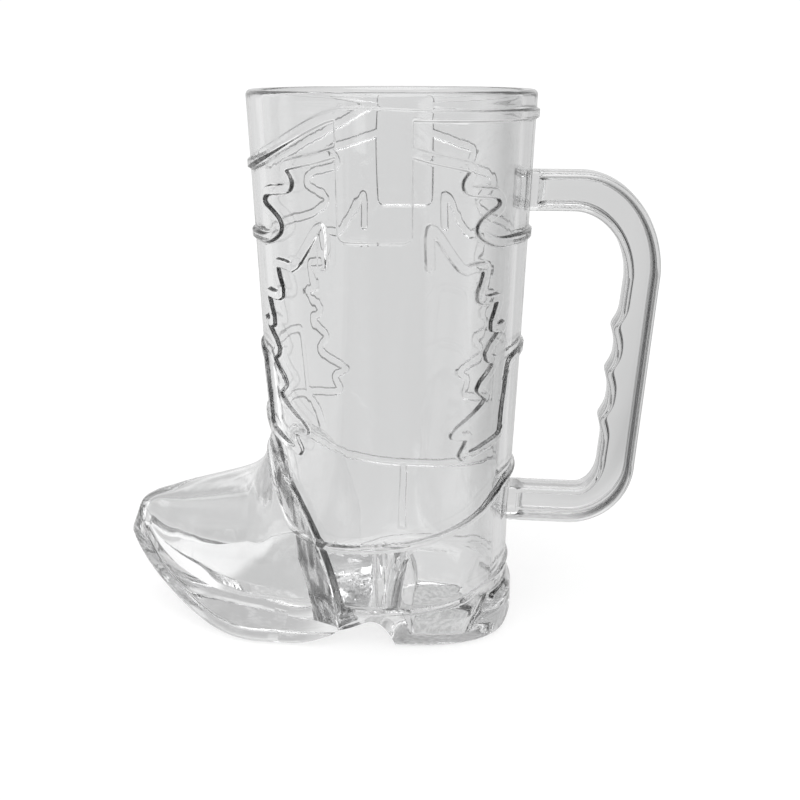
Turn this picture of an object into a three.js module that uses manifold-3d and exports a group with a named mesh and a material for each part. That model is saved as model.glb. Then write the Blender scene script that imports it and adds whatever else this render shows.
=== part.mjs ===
// Clear plastic cowboy boot mug: a tapered cup with a heel, a welded-on toe moulding and a bonded handle.
// Millimetres, +Z up, toe towards -X, handle towards +X.
import * as THREE from 'three';
import { mergeVertices } from 'three/addons/utils/BufferGeometryUtils.js';
import Module from 'manifold-3d';

// Cup and heel, outer sizes
const mugHeight = 165;
const rimRadius = 41;
const ankleHeight = 55;
const ankleRadius = 37.2;
const ringLow = 38.7;
const ringHalfLength = 36.4;
const ringHalfWidth = 34.6;
const seatHeight = 20;
const seatHalfLength = 36.2;
const seatHalfWidth = 30.2;
const heelHeight = 12;
const heelHalfLength = 38.2;
const heelHalfWidth = 26.6;
const heelBaseHalfLength = 36.8;
const heelBaseHalfWidth = 23.2;
const heelFullness = 2.5;
const heelFront = 3;
const archHeight = 9.5;
const ballRear = -27;

// Walls and the rounded lip
const wall = 4;
const floorThick = 3.4;
const lipRound = 1.5;

// Toe moulding
const toeReach = 86.7;
const weltHeight = 5.5;
const weltLedge = 1.2;
const toeWall = 3.8;

// Weld seam: an elliptical arch seen from the side
const seamFoot = -14.6;
const seamDepth = 33;
const seamRise = 52;
const seamFootHeight = 12;
const seamGap = 0.3;
const flangeThick = 2.6;
const flangeDepth = 3;
const tongueWidth = 1.8;
const tongueHeight = 1.6;

// Raised ornament
const ribWidth = 3;
const ribHeight = 1;
const ribSink = 1;
const strapHalfAngle = 14;
const strapDrop = 37.2;
const strapTopDrop = 4.5;
const strapRaise = 0.9;
const ringTilt = -8;
const ringRise = 0.0066;
const stripWidth = 3.4;
const stripFoot = 16;
const heelRibHeight = 12.2;
const heelRibSlope = 0.16;

// Handle
const handleReach = 78;
const handleTop = 143;
const handleFoot = 35.9;
const handleBar = 11.1;
const gripBar = 9.8;
const gripBarFoot = 10.9;
const handleThick = 9;
const handleLean = 0.058;
const topCorner = { length: 24, drop: 29, innerLength: 15.8, innerDrop: 19.4 };
const footCorner = { length: 19.5, drop: 20, innerLength: 6.6, innerDrop: 10 };
const railWidth = 2.4;
const webThick = 3.6;
const rootPad = 3;
const gripTips = 3;
const gripPitch = 13.6;
const gripDepth = 1.7;
const gripTopDrop = 44.6;
const bondGap = 0.3;

const around = 48;
const wasm = await Module();
wasm.setup();

// Closed three.js geometry to a manifold solid, and back
function solid(geometry) {
  const bare = geometry.clone();
  bare.deleteAttribute('normal');
  bare.deleteAttribute('uv');
  const welded = mergeVertices(bare, 1e-4);
  return new wasm.Manifold(new wasm.Mesh({
    numProp: 3,
    vertProperties: new Float32Array(welded.attributes.position.array),
    triVerts: new Uint32Array(welded.index.array),
  }));
}

function geometryOf(body) {
  const mesh = body.getMesh();
  const geometry = new THREE.BufferGeometry();
  geometry.setAttribute('position', new THREE.BufferAttribute(new Float32Array(mesh.vertProperties), 3));
  geometry.setIndex(new THREE.BufferAttribute(new Uint32Array(mesh.triVerts), 1));
  return geometry;
}

// Closed solid through rings of points that run anticlockwise seen from the last ring's side
function loft(rings) {
  const count = rings[0].length;
  const points = [];
  const faces = [];
  rings.forEach((ring) => ring.forEach((p) => points.push(p[0], p[1], p[2])));
  for (let r = 0; r + 1 < rings.length; r += 1) {
    for (let i = 0; i < count; i += 1) {
      const j = (i + 1) % count;
      const a = r * count + i;
      const b = r * count + j;
      faces.push(a, b, b + count, a, b + count, a + count);
    }
  }
  const cap = (ring, start, flip) => {
    const middle = points.length / 3;
    const mean = [0, 1, 2].map((k) => ring.reduce((sum, p) => sum + p[k], 0) / count);
    points.push(...mean);
    for (let i = 0; i < count; i += 1) {
      const a = start + i;
      const b = start + ((i + 1) % count);
      faces.push(middle, flip ? b : a, flip ? a : b);
    }
  };
  cap(rings[0], 0, true);
  cap(rings[rings.length - 1], (rings.length - 1) * count, false);
  const geometry = new THREE.BufferGeometry();
  geometry.setAttribute('position', new THREE.Float32BufferAttribute(points, 3));
  geometry.setIndex(faces);
  return solid(geometry);
}

// Side-view shape (x, z) pushed through the mug from side to side
function across(shape, width, curveSegments = 24) {
  const geometry = new THREE.ExtrudeGeometry(shape, { depth: width, bevelEnabled: false, curveSegments });
  geometry.rotateX(Math.PI / 2);
  geometry.translate(0, width / 2, 0);
  return solid(geometry);
}

const mix = (a, b, t) => a + (b - a) * t;
const radians = THREE.MathUtils.degToRad;

// Half axes of the cup's outer oval at a height
const bodyRows = [
  { z: 0, a: heelBaseHalfLength, b: heelBaseHalfWidth, full: heelFullness },
  { z: heelHeight / 2, a: heelHalfLength, b: mix(heelBaseHalfWidth, heelHalfWidth, 0.6), full: heelFullness },
  { z: heelHeight, a: heelHalfLength, b: heelHalfWidth, full: heelFullness },
  { z: seatHeight, a: seatHalfLength, b: seatHalfWidth, full: 2.1 },
  { z: ringLow, a: ringHalfLength, b: ringHalfWidth, full: 2 },
  { z: ankleHeight, a: ankleRadius, b: ankleRadius, full: 2 },
  { z: mugHeight, a: rimRadius, b: rimRadius, full: 2 },
];

function bodyAxes(z) {
  const top = bodyRows.findIndex((row) => row.z >= z);
  if (top < 0) return bodyRows[bodyRows.length - 1];
  if (top === 0) return bodyRows[0];
  const low = bodyRows[top - 1];
  const high = bodyRows[top];
  const t = (z - low.z) / (high.z - low.z);
  return { a: mix(low.a, high.a, t), b: mix(low.b, high.b, t), full: mix(low.full, high.full, t) };
}

// Point of the oval: a fullness of 2 is an ellipse, more is squarer
const squarer = (value, full) => Math.sign(value) * Math.abs(value) ** (2 / full);

function oval(z, inset) {
  const { a, b, full } = bodyAxes(z);
  return Array.from({ length: around }, (_, i) => {
    const turn = (i / around) * 2 * Math.PI;
    return [(a - inset) * squarer(Math.cos(turn), full), (b - inset) * squarer(Math.sin(turn), full), z];
  });
}

const lipSteps = [0, 45, 90].map(radians);

function bodyOuter(grow = 0) {
  const rows = bodyRows.slice(0, -1).map((row) => oval(row.z, -grow));
  lipSteps.forEach((t) => {
    const ring = oval(mugHeight - lipRound, lipRound * (1 - Math.cos(t)) - grow);
    rows.push(ring.map(([x, y]) => [x, y, mugHeight - lipRound * (1 - Math.sin(t))]));
  });
  return loft(rows);
}

function bodyCavity(inset, floor) {
  const rows = [oval(floor, inset)];
  bodyRows.slice(1, -1).filter((row) => row.z > floor + 0.5).forEach((row) => rows.push(oval(row.z, inset)));
  lipSteps.forEach((t) => {
    const ring = oval(mugHeight - lipRound, inset - lipRound * (1 - Math.cos(t)));
    rows.push(ring.map(([x, y]) => [x, y, mugHeight - lipRound * (1 - Math.sin(t))]));
  });
  rows.push(rows[rows.length - 1].map(([x, y]) => [x, y, mugHeight + 1]));
  return loft(rows).subtract(arch(inset));
}

// Open arch under the waist, between the heel's breast and the ball of the foot
function arch(grow) {
  const shape = new THREE.Shape();
  const top = archHeight + grow;
  shape.moveTo(heelFront + grow, -2);
  shape.lineTo(heelFront + grow - 1, top - 3);
  shape.quadraticCurveTo(heelFront + grow - 1.5, top, heelFront + grow - 5, top);
  shape.quadraticCurveTo(mix(heelFront, ballRear, 0.55), mix(0, archHeight, 0.7) + grow, ballRear, grow);
  shape.lineTo(ballRear - (grow > 0 ? 20 : 0), grow);
  shape.lineTo(ballRear - (grow > 0 ? 20 : 0.01), -2);
  shape.closePath();
  return across(shape, 4 * rimRadius, 8);
}

// Space ahead of the weld seam, with the arch moved back (+) or ahead (-) by an offset
function ahead(offset) {
  const shape = new THREE.Shape();
  const foot = seamFoot + offset;
  const middle = seamFoot - seamDepth;
  shape.moveTo(foot, -5);
  shape.lineTo(foot, seamFootHeight);
  shape.absellipse(middle, seamFootHeight, seamDepth + offset, seamRise + offset, 0, Math.PI / 2, false, 0);
  shape.lineTo(-2 * toeReach, seamFootHeight + seamRise + offset);
  shape.lineTo(-2 * toeReach, -5);
  shape.closePath();
  return across(shape, 4 * rimRadius, 20);
}

// Toe stations from the tip back: place, welt half width, sole height, top height, fullness of the upper
const toeTop = 44;
const ballHalfWidth = 26.2;
const instepTop = seamFootHeight + seamRise - 2;
const toeStations = [
  { x: -toeReach, w: 1.2, sole: 26, top: 30, bulge: 0 },
  { x: -toeReach + 1.5, w: 3.9, sole: 23.2, top: 32, bulge: 0 },
  { x: -toeReach + 3.9, w: 6, sole: 20, top: toeTop - 8.6, bulge: 0 },
  { x: -toeReach + 7.4, w: 8.4, sole: 16.2, top: toeTop - 5.5, bulge: 0 },
  { x: -toeReach + 11.4, w: 11, sole: 12.8, top: toeTop - 4, bulge: 0 },
  { x: -toeReach + 15.9, w: 13.8, sole: 9.7, top: toeTop - 2.6, bulge: 0 },
  { x: -toeReach + 23.6, w: 18.3, sole: 5.3, top: toeTop - 0.3, bulge: 0 },
  { x: -toeReach + 31, w: ballHalfWidth - 4.2, sole: 2.4, top: toeTop + 1.4, bulge: 0 },
  { x: -toeReach + 38.3, w: ballHalfWidth - 1.4, sole: 0.7, top: toeTop + 3.2, bulge: 0.2 },
  { x: -toeReach + 43.2, w: ballHalfWidth - 0.4, sole: 0, top: toeTop + 6, bulge: 1 },
  { x: -toeReach + 46.2, w: ballHalfWidth, sole: 0, top: toeTop + 10, bulge: 2 },
  { x: -ankleRadius - 0.6, w: ballHalfWidth, sole: 0, top: instepTop - 0.6, bulge: 3.4 },
  { x: -ankleRadius + 7, w: ballHalfWidth, sole: 0, top: instepTop + 2, bulge: 6.8 },
  { x: seamFoot - 5.5, w: ballHalfWidth, sole: 0, top: instepTop + 2, bulge: 9.6 },
  { x: seamFoot + 6, w: ballHalfWidth - 0.6, sole: 0, top: instepTop + 2, bulge: 9.6 },
];

// One cross-section of the toe: flat sole, upright welt, small ledge, arched upper
function toeRing(station, inset) {
  const half = station.w - inset;
  const sole = station.sole + inset;
  const welt = inset > 0 ? sole + 0.6 : sole + weltHeight;
  const ledge = inset > 0 ? 0.4 : weltLedge;
  const top = station.top - inset;
  const side = [[0, sole], [half - 0.8, sole], [half, sole + 0.6]];
  if (inset === 0) side.push([half, welt]);
  const steps = 9;
  for (let i = 0; i < steps; i += 1) {
    const t = (i / steps) * (Math.PI / 2);
    const up = Math.sin(t) ** (2 / 2.4);
    const full = half - ledge + station.bulge * up;
    side.push([full * Math.cos(t) ** (2 / 2.4), mix(welt + 0.3, top, up)]);
  }
  const right = side.map(([y, z]) => [station.x, y, z]);
  const left = side.slice(1).reverse().map(([y, z]) => [station.x, -y, z]);
  return [...right, [station.x, 0, top], ...left].reverse();
}

function toeOuter() {
  return loft(toeStations.map((station) => toeRing(station, 0)).reverse()).subtract(arch(0));
}

function toeCavity(inset) {
  const open = toeStations.filter((station) => station.w > inset + 2.5);
  return loft(open.map((station) => toeRing(station, inset)).reverse()).subtract(arch(inset));
}

// Raised ribs: points as [degrees round from the middle of a side, height]
function wallPoint(angle, z, grow, toRear, side) {
  const { a, b, full } = bodyAxes(z);
  const x = squarer(Math.sin(radians(angle)), full);
  const y = squarer(Math.cos(radians(angle)), full);
  return new THREE.Vector3(toRear * (a + grow) * x, side * (b + grow) * y, z);
}

function rib(path, width, toRear, side) {
  const rings = path.map(([angle, z], i) => {
    const before = path[Math.max(i - 1, 0)];
    const after = path[Math.min(i + 1, path.length - 1)];
    const here = wallPoint(angle, z, 0, toRear, side);
    const outward = wallPoint(angle, z, 1, toRear, side).sub(here).normalize();
    const arriving = here.clone().sub(wallPoint(before[0], before[1], 0, toRear, side)).normalize();
    const leaving = wallPoint(after[0], after[1], 0, toRear, side).sub(here).normalize();
    const along = arriving.clone().add(leaving).normalize();
    const bend = Math.max(along.dot(i === 0 ? leaving : arriving), 0.6);
    const level = new THREE.Vector3().crossVectors(outward, along).normalize().multiplyScalar(width / 2 / bend);
    const corner = (reach, lift) => here.clone().addScaledVector(level, reach).addScaledVector(outward, lift);
    const ring = [corner(-1, -ribSink), corner(1, -ribSink), corner(0.5, ribHeight), corner(-0.5, ribHeight)];
    return ring.map((p) => [p.x, p.y, p.z]);
  });
  return loft(rings.map((ring) => ring.reverse()).reverse());
}

function densify(path, step) {
  const points = [];
  path.slice(0, -1).forEach((start, i) => {
    const end = path[i + 1];
    const parts = Math.max(1, Math.ceil(Math.abs(end[0] - start[0]) / step));
    for (let k = 0; k < parts; k += 1) points.push([mix(start[0], end[0], k / parts), mix(start[1], end[1], k / parts)]);
  });
  points.push(path[path.length - 1]);
  return points;
}

// Stitch lines of one quarter, [degrees from the strap, drop below the rim]
const upperStitch = [
  [strapHalfAngle - 2, 14.5], [27, 17], [38, 19], [34, 23], [52, 26], [52, 29.5], [41, 34], [51, 39], [91, 39.5],
];
const flameStitch = [
  [21, 43.5], [21, 35], [35, 45.3], [45, 45.2], [43, 53.6], [54, 54], [51, 62], [57, 62.5], [49, 70], [54, 72],
  [45, 79], [50, 82], [33, 91], [40, 93], [37, 98.2], [60, 95.7], [64, 81], [67, 74], [91, 73],
];
const collarFront = [[-1, 5], [14, 5], [34, 11.5], [46, 15], [68, 19.6], [91, 21]];
const collarRear = [[-1, 5], [14, 5.8], [91, 6.4]];
const belowRim = (path) => densify(path.map(([angle, drop]) => [angle, mugHeight - drop]), 14);

function ornament() {
  const pieces = [];
  [-1, 1].forEach((side) => {
    [-1, 1].forEach((toRear) => {
      pieces.push(rib(belowRim(upperStitch), ribWidth, toRear, side));
      pieces.push(rib(belowRim(flameStitch), ribWidth, toRear, side));
      pieces.push(rib(belowRim(toRear < 0 ? collarFront : collarRear), ribWidth, toRear, side));
      const ring = Array.from({ length: 9 }, (_, i) => [mix(-1, 91, i / 8), 0]);
      ring.forEach((p) => {
        const x = toRear * ringHalfLength * Math.sin(radians(p[0]));
        p[1] = ringLow + ringRise * (x - ringTilt) ** 2;
      });
      pieces.push(rib(ring, ribWidth * 0.7, toRear, side));
    });
    const strapHeights = [mugHeight - strapDrop, mugHeight - strapTopDrop];
    const strap = strapHeights.map((z) => {
      const inner = [];
      const outer = [];
      for (let i = 0; i <= 6; i += 1) {
        const angle = mix(-strapHalfAngle, strapHalfAngle, i / 6);
        outer.push(wallPoint(angle, z, strapRaise, 1, side).toArray());
        inner.unshift(wallPoint(angle, z, -ribSink, 1, side).toArray());
      }
      return side < 0 ? [...outer, ...inner] : [...outer, ...inner].reverse();
    });
    pieces.push(loft(strap));
    const stripTop = ringLow + ringRise * ringTilt ** 2;
    pieces.push(rib([[0, stripTop], [0, mix(stripFoot, stripTop, 0.5)], [0, stripFoot]], stripWidth, 1, side));
    const heelLine = Array.from({ length: 9 }, (_, i) => [mix(-24, 91, i / 8), 0]);
    heelLine.forEach((p) => { p[1] = heelRibHeight + heelRibSlope * seatHalfLength * Math.sin(radians(p[0])); });
    pieces.push(rib(heelLine, ribWidth * 0.8, 1, side));
  });
  return wasm.Manifold.union(pieces);
}

// Weld tongue: a thin upright band in the middle of the seam's land, stopping above the waist's floor
function tongue(clearance) {
  const middle = (wall + flangeDepth) / 2;
  const half = tongueWidth / 2 + clearance;
  const band = bodyOuter(half - middle).subtract(bodyOuter(-half - middle));
  const slab = ahead(seamGap / 2 + tongueHeight + clearance).subtract(ahead(-seamGap / 2 - 0.5));
  const low = across(new THREE.Shape([
    new THREE.Vector2(-2 * toeReach, -5),
    new THREE.Vector2(2 * toeReach, -5),
    new THREE.Vector2(2 * toeReach, archHeight + wall + flangeDepth - clearance),
    new THREE.Vector2(-2 * toeReach, archHeight + wall + flangeDepth - clearance),
  ]), 4 * rimRadius);
  return band.intersect(slab).subtract(low);
}

function shaftCup() {
  const seamFace = ahead(seamGap / 2);
  const behindFlange = ahead(seamGap / 2 + flangeThick);
  const outside = bodyOuter().add(ornament()).subtract(arch(0)).subtract(seamFace);
  const hollow = bodyCavity(wall, floorThick).subtract(behindFlange);
  const window = bodyCavity(wall + flangeDepth, floorThick + 2);
  return outside.subtract(hollow).subtract(window).subtract(tongue(0.15));
}

function toeShell() {
  const seamFace = ahead(-seamGap / 2);
  const beforeFlange = ahead(-seamGap / 2 - flangeThick);
  const hollow = toeCavity(toeWall).intersect(beforeFlange);
  const window = toeCavity(toeWall + flangeDepth);
  return toeOuter().intersect(seamFace).subtract(hollow).subtract(window).add(tongue(0));
}

// Side outline of the handle: rounded D with a leaning grip; the inset draws the web's recess
function handleOutline(inset) {
  const topMiddle = handleTop - topCorner.drop;
  const footMiddle = handleFoot + footCorner.drop;
  const lean = (z) => handleReach - handleLean * (topMiddle - z);
  const inner = (z) => lean(z) - mix(gripBar, gripBarFoot, (topMiddle - z) / (topMiddle - footMiddle));
  const root = inset > 0 ? rootPad + inset : -wall / 2;
  const topRoot = bodyAxes(handleTop - handleBar).a + root;
  const footRoot = bodyAxes(handleFoot + handleBar).a + root;
  const topX = lean(topMiddle) - topCorner.length;
  const footX = lean(footMiddle) - footCorner.length;
  const innerTopZ = handleTop - handleBar - topCorner.innerDrop;
  const innerFootZ = handleFoot + handleBar + footCorner.innerDrop;
  const innerTopX = inner(innerTopZ) - topCorner.innerLength;
  const innerFootX = inner(innerFootZ) - footCorner.innerLength;
  const shape = new THREE.Shape();
  shape.moveTo(topRoot, handleTop - inset);
  shape.lineTo(topX, handleTop - inset);
  shape.absellipse(topX, topMiddle, topCorner.length - inset, topCorner.drop - inset, Math.PI / 2, 0, true, 0);
  shape.lineTo(footX + footCorner.length - inset, footMiddle);
  shape.absellipse(footX, footMiddle, footCorner.length - inset, footCorner.drop - inset, 0, -Math.PI / 2, true, 0);
  shape.lineTo(footRoot, handleFoot + inset);
  shape.lineTo(footRoot, handleFoot + handleBar - inset);
  shape.lineTo(innerFootX, handleFoot + handleBar - inset);
  const footRound = [footCorner.innerLength + inset, footCorner.innerDrop + inset];
  shape.absellipse(innerFootX, innerFootZ, ...footRound, -Math.PI / 2, 0, false, 0);
  if (inset === 0) {
    for (let i = gripTips - 1; i >= 0; i -= 1) {
      const z = handleTop - gripTopDrop - i * gripPitch;
      shape.lineTo(inner(z - gripPitch * 0.45), z - gripPitch * 0.45);
      shape.quadraticCurveTo(inner(z), z - gripPitch * 0.2, inner(z) - gripDepth, z);
      shape.quadraticCurveTo(inner(z), z + gripPitch * 0.15, inner(z + gripPitch * 0.4), z + gripPitch * 0.4);
    }
  }
  shape.lineTo(inner(innerTopZ) + inset, innerTopZ);
  const topRound = [topCorner.innerLength + inset, topCorner.innerDrop + inset];
  shape.absellipse(innerTopX, innerTopZ, ...topRound, 0, Math.PI / 2, false, 0);
  shape.lineTo(topRoot, handleTop - handleBar + inset);
  shape.closePath();
  return shape;
}

function handleBody() {
  const bar = across(handleOutline(0), handleThick, 10);
  const recess = across(handleOutline(railWidth), handleThick, 10);
  const shift = (handleThick + webThick) / 2;
  return bar
    .subtract(recess.translate([0, shift, 0]))
    .subtract(recess.translate([0, -shift, 0]))
    .subtract(bodyOuter(bondGap))
    .subtract(bodyCavity(wall, floorThick));
}

function clearPlastic(color) {
  return new THREE.MeshStandardMaterial({ color, roughness: 0.08, metalness: 0, transparent: true, opacity: 0.35 });
}

const group = new THREE.Group();
group.position.x = (toeReach - handleReach) / 2;

function addPiece(name, body, color) {
  const mesh = new THREE.Mesh(geometryOf(body), clearPlastic(color));
  mesh.name = name;
  group.add(mesh);
}

addPiece('shaft_cup', shaftCup(), 0xdfe2e4);
addPiece('toe_shell', toeShell(), 0xdfe2e4);
addPiece('handle', handleBody(), 0xdfe2e4);

export default group;
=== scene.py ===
import math
import bmesh
import bpy
import numpy as np
from mathutils import Matrix, Vector


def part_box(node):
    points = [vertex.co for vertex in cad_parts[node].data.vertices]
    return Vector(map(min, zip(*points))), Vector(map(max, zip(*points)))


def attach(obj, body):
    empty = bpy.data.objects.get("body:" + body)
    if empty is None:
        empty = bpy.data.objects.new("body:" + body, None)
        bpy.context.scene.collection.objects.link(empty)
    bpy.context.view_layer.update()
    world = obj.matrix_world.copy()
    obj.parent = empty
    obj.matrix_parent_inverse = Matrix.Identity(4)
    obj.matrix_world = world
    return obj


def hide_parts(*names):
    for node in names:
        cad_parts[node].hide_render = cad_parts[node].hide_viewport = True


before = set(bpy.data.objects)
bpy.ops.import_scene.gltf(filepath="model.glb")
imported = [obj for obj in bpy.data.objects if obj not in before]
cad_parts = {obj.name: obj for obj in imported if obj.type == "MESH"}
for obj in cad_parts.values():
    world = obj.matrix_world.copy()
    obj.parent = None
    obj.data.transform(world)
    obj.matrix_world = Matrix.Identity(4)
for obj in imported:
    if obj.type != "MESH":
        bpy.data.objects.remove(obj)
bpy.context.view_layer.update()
print("frame loaded:", sorted(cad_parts))

mm = 0.001  # all shapes below are drawn in millimetres
tiny = 1e-12  # keeps divisions clear of zero
plateHalfWidth = 120.0  # cutting plates reach this far to each side of the mug
# the groove and heel-underside slots carry painted shade
plainFace, fusedFace, grooveFace, heelShadeFace = range(4)  # finishes of a face, as slots on a piece


# Small tools for shapes

def glide(at, knots, values):
    # smooth line through the values that never overshoots them
    knots = np.asarray(knots, float)
    values = np.asarray(values, float)
    step = np.diff(knots)
    slope = np.diff(values) / step
    tangent = np.concatenate(([slope[0]], np.zeros(len(slope) - 1), [slope[-1]]))
    early = 2 * step[1:] + step[:-1]
    late = step[1:] + 2 * step[:-1]
    steady = slope[:-1] * slope[1:] > 0
    safe = np.where(steady, slope[:-1] * slope[1:], 1.0)
    evened = (early + late) * safe / (early * slope[1:] + late * slope[:-1] + tiny)
    tangent[1:-1] = np.where(steady, evened, 0.0)
    at = np.clip(at, knots[0], knots[-1])
    k = np.clip(np.searchsorted(knots, at, side="right") - 1, 0, len(step) - 1)
    t = (at - knots[k]) / step[k]
    startPart = (1 + 2 * t) * (1 - t) ** 2 * values[k] + t * (1 - t) ** 2 * step[k] * tangent[k]
    endPart = t * t * (3 - 2 * t) * values[k + 1] + t * t * (t - 1) * step[k] * tangent[k + 1]
    return startPart + endPart


def easeIn(t):
    t = np.clip(t, 0.0, 1.0)
    return t * t * (3 - 2 * t)


def softenPath(points, rounds):
    # rounds the corners of a drawn line and keeps its ends
    points = np.asarray(points, float)
    for _ in range(rounds):
        near = 0.75 * points[:-1] + 0.25 * points[1:]
        far = 0.25 * points[:-1] + 0.75 * points[1:]
        inner = np.stack((near, far), 1).reshape(-1, 2)
        points = np.vstack((points[:1], inner[1:-1], points[-1:]))
    return points


def pathDistance(u, v, path):
    # distance in the sheet (u, v) to a drawn line
    best = np.full(np.broadcast(u, v).shape, np.inf)
    for (u0, v0), (u1, v1) in zip(path[:-1], path[1:]):
        du, dv = u1 - u0, v1 - v0
        t = np.clip(((u - u0) * du + (v - v0) * dv) / (du * du + dv * dv + tiny), 0.0, 1.0)
        best = np.minimum(best, (u - u0 - t * du) ** 2 + (v - v0 - t * dv) ** 2)
    return np.sqrt(best)


def squarer(value, full):
    # a fullness of 2 gives a circle's course, more is squarer
    return np.sign(value) * np.abs(value) ** (2 / full)


def makeObject(name, points, faces):
    mesh = bpy.data.meshes.new(name)
    mesh.from_pydata((np.asarray(points) * mm).tolist(), [], faces)
    work = bmesh.new()
    work.from_mesh(mesh)
    if work.calc_volume(signed=True) < 0:
        bmesh.ops.reverse_faces(work, faces=work.faces)
        work.to_mesh(mesh)
    work.free()
    thing = bpy.data.objects.new(name, mesh)
    bpy.context.scene.collection.objects.link(thing)
    return thing


def wrapSheet(name, lattice, busy, fine):
    # closed skin over rings of points: busy cells keep every point, calm cells only their corners
    rows, columns = busy.shape
    total = columns * fine
    cellRow, cellColumn = np.nonzero(busy)
    faces = []
    for a in range(fine):
        for b in range(fine):
            low = (cellRow * fine + a) * total
            left = cellColumn * fine + b
            right = (left + 1) % total
            quad = np.stack((low + left, low + right, low + total + right, low + total + left), 1)
            faces.extend(quad.tolist())

    def edgePoints(row, column, isBusy):
        first = column * fine
        count = fine if isBusy else 1
        return [row * fine * total + (first + i * (fine // count)) % total for i in range(count)]

    for row, column in zip(*np.nonzero(~busy)):
        nextColumn = (column + 1) % columns
        below = row > 0 and busy[row - 1, column]
        above = row + 1 < rows and busy[row + 1, column]
        loop = edgePoints(row, column, below)
        corner = (nextColumn * fine) % total
        climb = fine if busy[row, nextColumn] else 1
        loop += [(row * fine + i) * total + corner for i in range(climb)]
        top = edgePoints(row + 1, column, above)[1:]
        loop += [(row + 1) * fine * total + corner] + top[::-1]
        down = [(row * fine + i) * total + column * fine for i in range(fine, 0, -1)]
        loop += down if busy[row, column - 1] else down[:1]
        faces.append(loop)
    for row, cellsRow, turn in ((0, 0, -1), (rows, rows - 1, 1)):
        ring = []
        for column in range(columns):
            ring += edgePoints(row, column, busy[cellsRow, column])
        faces.append(ring[::turn])
    points = lattice.reshape(-1, 3)
    used = np.zeros(len(points), bool)
    used[np.fromiter((i for face in faces for i in face), int)] = True
    place = np.cumsum(used) - 1
    faces = [[int(place[i]) for i in face] for face in faces]
    return makeObject(name, points[used], faces)


def loftSkin(name, rings):
    # plain closed skin through rings of equal count
    rings = np.asarray(rings, float)
    busy = np.zeros((rings.shape[0] - 1, rings.shape[1]), bool)
    return wrapSheet(name, rings, busy, 1)


def sidePlate(name, outline):
    # side-view outline (x, z) pushed right through the mug
    outline = np.asarray(outline, float)
    near = np.column_stack((outline[:, 0], np.full(len(outline), -plateHalfWidth), outline[:, 1]))
    far = near * (1, -1, 1)
    return loftSkin(name, [near, far])


def combine(base, tool, how):
    change = base.modifiers.new("combine", "BOOLEAN")
    change.operation = how
    change.solver = "MANIFOLD"
    change.object = tool
    seen = bpy.context.evaluated_depsgraph_get()
    fresh = bpy.data.meshes.new_from_object(base.evaluated_get(seen))
    base.modifiers.clear()
    base.data = fresh
    bpy.data.objects.remove(tool)
    return base


# Cup with heel: outer skin with the stitched ornament standing proud of it

shaftCup = {
    "height": 165.0,
    "rowHeights": (0, 6, 12, 20, 38.7, 55, 165),
    "halfLengths": (36.8, 38.2, 38.2, 36.2, 36.4, 37.2, 41.0),
    "halfWidths": (23.2, 25.3, 26.6, 30.2, 34.6, 37.2, 41.0),
    "fullness": (2.5, 2.5, 2.5, 2.1, 2.0, 2.0, 2.0),
    "wall": 4.0,
    "floor": 13.5,
    "floorRound": 2.6,
    "mouthSpare": 2.0,  # the hollow is cut this far above the rim
    "lip": 1.5,
    "baseEdge": 1.6,
    "flatBelow": 0.02,  # faces lower than this are the underside
    # the skin's cells: height, points along a busy cell's edge, columns around, relief that counts as busy
    "cell": 1.0,
    "fine": 4,
    "columns": 256,
    "busyRelief": 0.004,
    "crease": 62,
}

# heel arch in side view, from the breast of the heel forward to the ball
heelArch = ((3.7, -4), (3.5, 0.6), (2.7, 3.2), (1.7, 5.6), (0.4, 7.7), (-1.3, 9.4), (-3.4, 10), (-5.4, 9.5),
            (-8.5, 7.8), (-11.8, 6.1), (-16.8, 4.1), (-21.5, 2.3), (-26.3, 0.9), (-31, 0.3), (-36, 0.05),
            (-41, -0.1), (-46, -0.3), (-47, -4))

heelWell = {
    # rings of the hollow in the heel: height, middle, half length, half width
    "rings": ((3.0, 15.2, 8.4, 14.3), (3.2, 15.2, 8.9, 14.8), (4.0, 15.25, 9.2, 15.1), (9, 15.7, 10.6, 16.6),
              (13.5, 16.4, 12.4, 18.6), (16, 16.8, 13.2, 19.6)),
    "fullness": 7.0,
    "points": 64,
}

weldSeam = {
    "foot": -14.1,
    "depth": 33.0,
    "rise": 60.0,
    "footHeight": 4.0,
    "gap": 0.3,
    "fusedGap": 0.02,
    # below the outer skin the two welded faces part: land that touches, depth, spread on each side
    "land": 0.5,
    "grooveDepth": 5.6,
    "shaftSpread": 1.0,
    "toeSpread": 1.45,
    # where the groove opens, as start and run: above the sole, by the cup's half width, and closing below it
    "openHeight": (5.0, 3.0),
    "openWidth": (11.0, 11.0),
    "closeBelow": (0.5, 1.5),
    "clearSide": 1,  # on this side the weld has fused and can't be seen
    "steps": 49,
    "acrossHalf": 34.0,  # the stretch across the mug with close-set rings, and their count
    "acrossSteps": 137,
    "openFrom": 0.01,  # gap beyond the fused one that counts as open
    "grooveFrom": 0.05,  # depth that counts as groove
    "front": -140.0,
    "under": -6.0,
}

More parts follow.
